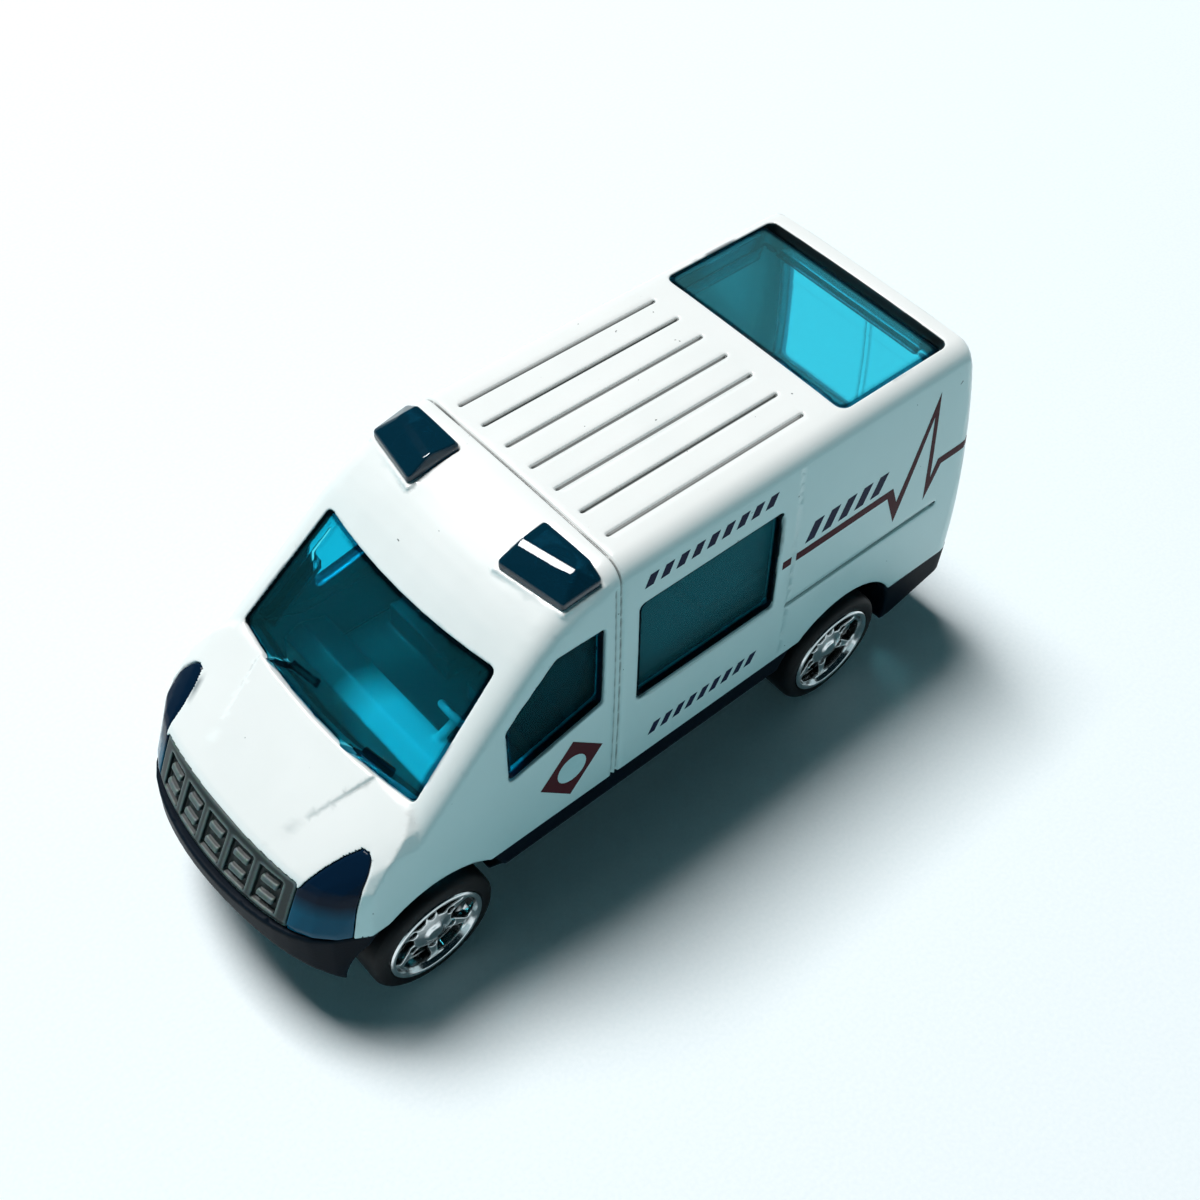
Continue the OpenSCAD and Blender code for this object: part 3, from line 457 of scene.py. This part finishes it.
def printing_ink(name, dark, light):
    """Satin ink of two close tones, thin and slightly broken like a pad print."""
    made, tree, shader = new_finish(name)
    place = node(tree, "ShaderNodeTexCoord", {}).outputs["Object"]
    blots = node(tree, "ShaderNodeTexNoise", {"Vector": place, "Scale": 1 / (0.4 * MM), "Detail": 3.0})
    tone = node(tree, "ShaderNodeMix",
                {"Factor": blots.outputs["Fac"], FIRST: linear(dark), SECOND: linear(light)},
                data_type="RGBA")
    tree.links.new(tone.outputs[MIXED], shader.inputs["Base Color"])
    gloss = node(tree, "ShaderNodeMapRange", {"Value": blots.outputs["Fac"], "To Min": 0.35, "To Max": 0.5})
    tree.links.new(gloss.outputs[0], shader.inputs["Roughness"])
    shader.inputs["Specular IOR Level"].default_value = 0.06
    return made


# Keeps the point of a sharp bend from growing longer than about three half widths.
MITRE_LEAST = 0.35


def band(points, half):
    """Outlines of a band along a line of points, one for each stretch, with mitred bends."""
    line = [Vector(p) for p in points]
    left, right = [], []
    for i, p in enumerate(line):
        before = (p - line[i - 1]).normalized() if i else None
        after = (line[i + 1] - p).normalized() if i < len(line) - 1 else None
        along = (before + after).normalized() if before and after else (before or after)
        ahead = after or before
        across = Vector((-along.y, along.x))
        square = Vector((-ahead.y, ahead.x))
        reach = half / max(MITRE_LEAST, abs(across.dot(square)))
        left.append(tuple(p + across * reach))
        right.append(tuple(p - across * reach))
    return [left[i:i + 2] + right[i:i + 2][::-1] for i in range(len(line) - 1)]


# Share of the pitch that a bar takes, and how far it leans for each millimetre of height.
BAR_SHARE, BAR_LEAN = 0.55, -0.5


def slanted_bars(x0, x1, z0, z1, count):
    """Row of like slanted bars from x0 to x1, between the heights z0 and z1."""
    pitch = (x1 - x0) / count
    lean = BAR_LEAN * (z1 - z0)
    bars = []
    for k in range(count):
        start, end = x0 + k * pitch, x0 + (k + BAR_SHARE) * pitch
        bars.append([(start, z0), (end, z0), (end + lean, z1), (start + lean, z1)])
    return bars


maroon = printing_ink("printing_ink_maroon", "#4a0f1a", "#5c1722")
navy = printing_ink("printing_ink_navy", "#0a1233", "#141d42")
white_ink = printing_ink("printing_ink_white", "#e9edec", "#f4f6f5")
STRIPE_Z, STRIPE_HALF = 23.5, 0.42
zigzag = [(-11.45, STRIPE_Z), (-24.4, STRIPE_Z), (-25.5, 20.7), (-28.9, 30.7), (-29.6, 20.9),
          (-30.7, STRIPE_Z), (-34.8, STRIPE_Z)]
ink("side_stripe", band(zigzag, STRIPE_HALF), maroon)
lozenge = [(14.0, 15.85), (10.75, 19.4), (7.7, 16.6), (10.95, 12.8)]
ink("door_lozenge", [lozenge], maroon)
DISC_X, DISC_Z, DISC_R, DISC_STEPS = 10.85, 16.1, 1.45, 24
angles = [k * math.tau / DISC_STEPS for k in range(DISC_STEPS)]
disc = [(DISC_X + DISC_R * math.cos(a), DISC_Z + DISC_R * math.sin(a)) for a in angles]
ink("door_roundel", [disc], white_ink, OVERPRINT_T)
bars_high = slanted_bars(x0=3.8, x1=-10.2, z0=31.35, z1=32.45, count=9)
bars_low = slanted_bars(x0=2.7, x1=-9.6, z0=13.4, z1=14.6, count=9)
bars_behind = slanted_bars(x0=-13.9, x1=-23.6, z0=24.5, z1=26.4, count=5)
ink("side_bars", bars_high + bars_low + bars_behind, navy)


# Axles: two straight steel wires with plain ends, pressed into the hubs and free in the base.
# Drawn steel: bright grey with fine lines along the wire, a tenth of a millimetre apart.
steel, tree, shader = new_finish("drawn_steel")
shader.inputs["Metallic"].default_value = 1.0
place = node(tree, "ShaderNodeTexCoord", {}).outputs["Object"]
along = node(tree, "ShaderNodeMapping", {"Vector": place, "Scale": (1.0, 0.05, 1.0)})
drawn = node(tree, "ShaderNodeTexNoise",
             {"Vector": along.outputs[0], "Scale": 1 / (0.1 * MM), "Detail": 2.0})
tone = node(tree, "ShaderNodeMix",
            {"Factor": drawn.outputs["Fac"], FIRST: linear("#8d9092"), SECOND: linear("#b4b7b8")},
            data_type="RGBA")
tree.links.new(tone.outputs[MIXED], shader.inputs["Base Color"])
gloss = node(tree, "ShaderNodeMapRange", {"Value": drawn.outputs["Fac"], "To Min": 0.25, "To Max": 0.42})
tree.links.new(gloss.outputs[0], shader.inputs["Roughness"])
for end in ("front", "rear"):
    wire = rounded(end + "_axle_wire", end + "_axle", voxel=0.06 * MM, rounds=1, adapt=0.02)
    wire.data.materials.append(steel)
    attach(wire, end + "_wheelset")


# Base screws: two cross-headed steel screws that hold base and casting together.
# They have the same steel as the axles, and their heads lie sunk in the base.
screws = rounded("base_screw_heads", "base_screws", voxel=0.05 * MM, rounds=1, adapt=0.02)
screws.data.materials.append(steel)
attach(screws, "van_body")


# Hubs: plated mouldings with forked spokes, pushed on the axle ends and into the tyres.
# They are plated from the front; the barrel behind the spokes is unplated and painted near black as shade.
BARREL_Y, SPOKE_Y = 11.4 * MM, 11.9 * MM

# Vacuum plating on plastic: mirror-like with a slight haze, and painted shade darkening its corners.
plating, tree, shader = new_finish("vacuum_plated_plastic")
shader.inputs["Metallic"].default_value = 1.0
place = node(tree, "ShaderNodeTexCoord", {}).outputs["Object"]
haze = node(tree, "ShaderNodeTexNoise", {"Vector": place, "Scale": 1 / (1.2 * MM), "Detail": 3.0})
relief = node(tree, "ShaderNodeAttribute", {}, attribute_name="relief").outputs["Fac"]
# Painted shade: concave corners of the plating are darkened.
corner = node(tree, "ShaderNodeMapRange", {"Value": relief, "From Min": -0.06, "From Max": -0.01})
plating_with_corner_shade = node(tree, "ShaderNodeMix",
              {"Factor": corner.outputs[0], FIRST: linear("#6f7678"), SECOND: linear("#e4e8e9")},
              data_type="RGBA")
axes = node(tree, "ShaderNodeSeparateXYZ", {"Vector": place})
across = node(tree, "ShaderNodeMath", {0: axes.outputs["Y"]}, operation="ABSOLUTE")
# Painted shade: the barrel behind the spokes is drawn near black.
front = node(tree, "ShaderNodeMapRange",
             {"Value": across.outputs[0], "From Min": BARREL_Y, "From Max": SPOKE_Y})
tone = node(tree, "ShaderNodeMix",
            {"Factor": front.outputs[0], FIRST: linear("#0e1316"), SECOND: plating_with_corner_shade.outputs[MIXED]},
            data_type="RGBA")
tree.links.new(tone.outputs[MIXED], shader.inputs["Base Color"])
gloss = node(tree, "ShaderNodeMapRange", {"Value": haze.outputs["Fac"], "To Min": 0.1, "To Max": 0.26})
tree.links.new(gloss.outputs[0], shader.inputs["Roughness"])

# Tyres: plain black rings with rounded shoulders, stretched over the hubs.
# Soft black PVC: dull, with a fine moulded grain and faint grey scuffs.
pvc, tree, shader = new_finish("soft_black_pvc")
place = node(tree, "ShaderNodeTexCoord", {}).outputs["Object"]
scuff = node(tree, "ShaderNodeTexNoise", {"Vector": place, "Scale": 1 / (0.9 * MM), "Detail": 4.0})
grain = node(tree, "ShaderNodeTexNoise", {"Vector": place, "Scale": 1 / (0.2 * MM), "Detail": 2.0})
tone = node(tree, "ShaderNodeMix",
            {"Factor": scuff.outputs["Fac"], FIRST: linear("#07090c"), SECOND: linear("#12171b")},
            data_type="RGBA")
tree.links.new(tone.outputs[MIXED], shader.inputs["Base Color"])
gloss = node(tree, "ShaderNodeMapRange", {"Value": scuff.outputs["Fac"], "To Min": 0.45, "To Max": 0.65})
tree.links.new(gloss.outputs[0], shader.inputs["Roughness"])
skin = node(tree, "ShaderNodeBump",
            {"Height": grain.outputs["Fac"], "Strength": 0.2, "Distance": 0.03 * MM})
tree.links.new(skin.outputs["Normal"], shader.inputs["Normal"])
shader.inputs["Specular IOR Level"].default_value = 0.15
for end in ("front", "rear"):
    for side in ("left", "right"):
        spoked = rounded(f"{end}_{side}_spoked_hub", f"{end}_{side}_hub",
                         voxel=0.06 * MM, rounds=1, adapt=0.02)
        spoked.data.materials.append(plating)
        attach(spoked, end + "_wheelset")
        ring = rounded(f"{end}_{side}_tyre_ring", f"{end}_{side}_tyre",
                       voxel=0.1 * MM, rounds=1, adapt=0.02)
        ring.data.materials.append(pvc)
        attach(ring, end + "_wheelset")


# Floor: a sheet of white card under the toy, with a faint cool cast and its edges turned up.
# Sizes are half widths and the height of the edges, in metres.
CARD_HALF, EDGE_HALF, EDGE_Z = 1.0, 1.08, 0.55

# Uncoated card: matt, with fibres of about a third of a millimetre. The light that it
# throws back on the toy is cooler and dimmer than the card looks.
card, tree, shader = new_finish("white_card")
place = node(tree, "ShaderNodeTexCoord", {}).outputs["Object"]
fibre = node(tree, "ShaderNodeTexNoise", {"Vector": place, "Scale": 1 / (0.35 * MM), "Detail": 3.0})
tone = node(tree, "ShaderNodeMix",
            {"Factor": fibre.outputs["Fac"], FIRST: linear("#eaf3f6"), SECOND: linear("#f7fdff")},
            data_type="RGBA")
ray = node(tree, "ShaderNodeLightPath", {})
seen = node(tree, "ShaderNodeMath", {0: ray.outputs["Is Camera Ray"], 1: ray.outputs["Is Glossy Ray"]},
            operation="MAXIMUM")
shown = node(tree, "ShaderNodeMath", {0: seen.outputs[0], 1: ray.outputs["Is Transmission Ray"]},
             operation="MAXIMUM")
cast = node(tree, "ShaderNodeMix",
            {"Factor": shown.outputs[0], FIRST: linear("#93c8d0"), SECOND: tone.outputs[MIXED]},
            data_type="RGBA")
tree.links.new(cast.outputs[MIXED], shader.inputs["Base Color"])
shader.inputs["Roughness"].default_value = 0.9
corners = ((-1, -1), (1, -1), (1, 1), (-1, 1))
rings = ((CARD_HALF, 0), (EDGE_HALF, EDGE_Z))
card_points = [(x * half, y * half, z) for half, z in rings for x, y in corners]
card_faces = [(0, 1, 2, 3)] + [((k + 1) % 4, k, k + 4, (k + 1) % 4 + 4) for k in range(4)]
sheet_mesh = bpy.data.meshes.new("card_sheet")
sheet_mesh.from_pydata(card_points, [], card_faces)
sheet_mesh.materials.append(card)
card_sheet = bpy.data.objects.new("card_sheet", sheet_mesh)
bpy.context.scene.collection.objects.link(card_sheet)


# Light: one large soft lamp high on the right side, and a faint cool room.
# The lamp's place, aim and size are in mm.
LAMP_PLACE = Vector((90, -471, 1200))
LAMP_AIM = Vector((0, 0, 12))
LAMP_WIDTH, LAMP_LENGTH = 420, 480
lamp_data = bpy.data.lights.new("key_lamp", "AREA")
lamp_data.shape = "RECTANGLE"
lamp_data.size = LAMP_WIDTH * MM
lamp_data.size_y = LAMP_LENGTH * MM
lamp_data.energy = 18.8
lamp_data.color = linear("#ffffff")[:3]
key_lamp = bpy.data.objects.new("key_lamp", lamp_data)
key_lamp.location = LAMP_PLACE * MM
key_lamp.rotation_euler = (LAMP_AIM - LAMP_PLACE).to_track_quat("-Z", "Y").to_euler()
bpy.context.scene.collection.objects.link(key_lamp)
world = bpy.data.worlds.new("room")
world.use_nodes = True
room = world.node_tree.nodes["Background"]
room.inputs["Color"].default_value = linear("#5fb4d8")
room.inputs["Strength"].default_value = 0.015
bpy.context.scene.world = world
bpy.context.scene.view_settings.view_transform = "Standard"


# Camera: above the front left corner, as in the photograph.
# Its place, in mm, its directions and its lens come from the picture's solved perspective.
eye = Vector((60.556, 63.406, 120.912)) * MM
forward = Vector((-0.45778, -0.45137, -0.76596))
right = Vector((-0.74855, 0.66052, 0.05814))
up = right.cross(forward).normalized()
camera_data = bpy.data.cameras.new("camera")
camera_data.lens = 48.83
camera_data.sensor_width = 36.0
camera_data.clip_start = 0.005
camera = bpy.data.objects.new("camera", camera_data)
camera.matrix_world = Matrix(((right.x, up.x, -forward.x, eye.x),
                              (right.y, up.y, -forward.y, eye.y),
                              (right.z, up.z, -forward.z, eye.z),
                              (0, 0, 0, 1)))
bpy.context.scene.collection.objects.link(camera)
bpy.context.scene.camera = camera
